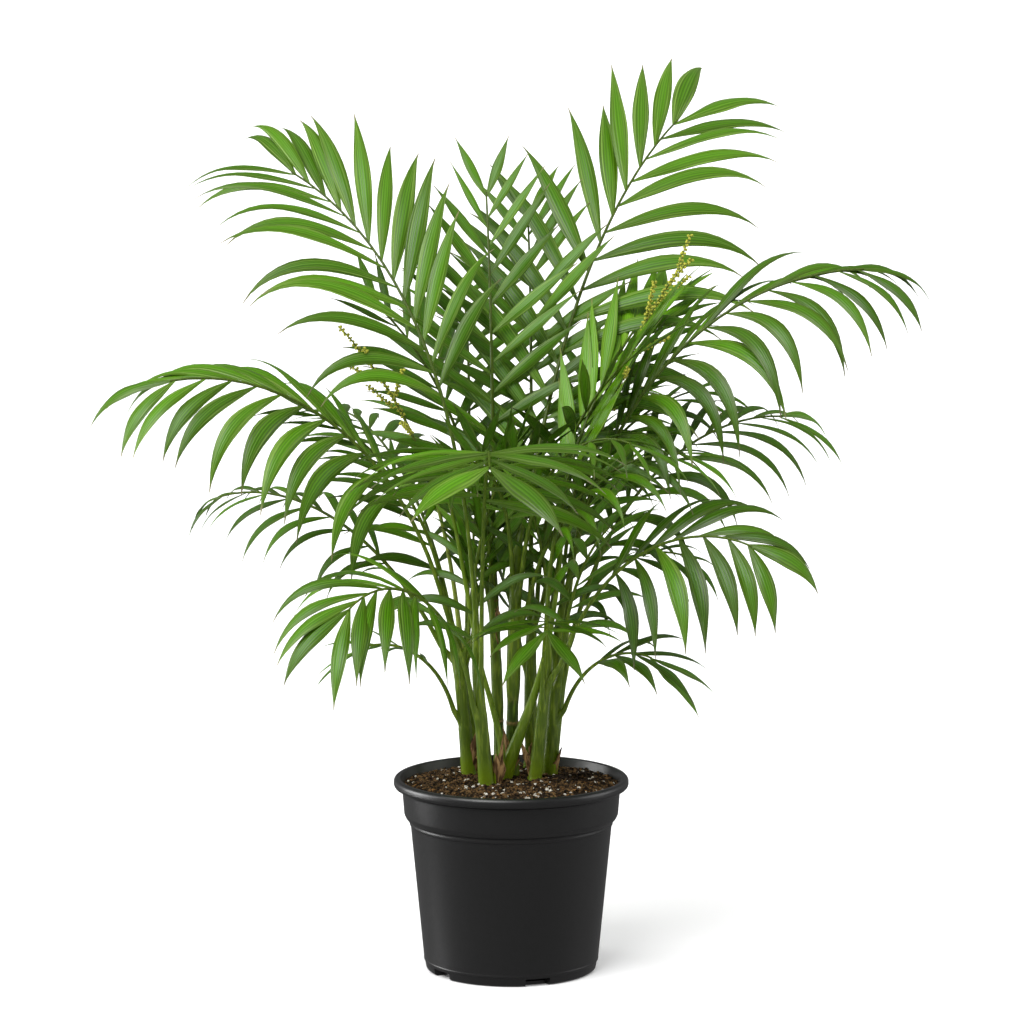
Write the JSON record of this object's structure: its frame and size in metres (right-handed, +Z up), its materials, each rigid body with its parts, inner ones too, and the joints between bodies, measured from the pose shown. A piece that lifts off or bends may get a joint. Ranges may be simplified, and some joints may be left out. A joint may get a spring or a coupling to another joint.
{
  "type": "potted parlour palm",
  "caption": "Clump-forming parlour palm with arching feather fronds and two small flower heads, in a plain black round nursery pot.",
  "frame": {"origin": "middle of the pot's flat underside", "axes": "+Z up along the pot's axis, -Y towards the plant's front, +X to the right of that front view"},
  "size_m": [0.7697, 0.688, 0.8051],
  "materials": {
    "pot": "black moulded polypropylene, satin outside, slightly worn at the lip",
    "compost": "moist dark brown potting compost with bark chips and white perlite grains",
    "cane": "smooth green cane with darker rings and papery brown sheath remains at the foot",
    "frond": "glossy mid green leaflets with fine veins along them, on paler ribs",
    "young_frond": "fresh yellow-green leaflets, half unfolded",
    "flowers": "yellow-green beads on thin green sprigs"
  },
  "bodies": {
    "root": {"cane_a": "cane", "cane_b": "cane", "cane_c": "cane", "cane_d": "cane", "cane_e": "cane", "cane_f": "cane", "cane_g": "cane", "cane_h": "cane", "cane_k": "cane", "flowers_left": "flowers", "flowers_right": "flowers", "frond_back_high": "frond", "frond_back_left": "frond", "frond_back_low": "frond", "frond_back_right": "frond", "frond_centre_high": "frond", "frond_centre_low": "frond", "frond_front": "frond", "frond_front_left": "frond", "frond_front_low": "frond", "frond_front_middle": "frond", "frond_front_right": "frond", "frond_front_right_low": "frond", "frond_inner_left": "frond", "frond_inner_middle": "frond", "frond_inner_right": "frond", "frond_left_arch": "frond", "frond_left_low": "frond", "frond_middle_left": "frond", "frond_middle_right": "frond", "frond_right_arch": "frond", "frond_right_inner": "frond", "frond_right_low": "frond", "frond_right_middle": "frond", "frond_side_left_small": "frond", "frond_top_middle": "frond", "frond_upper_left": "frond", "frond_upper_right": "frond", "frond_young": "young_frond", "pot": "pot", "soil": "compost"}
  },
  "joints": []
}
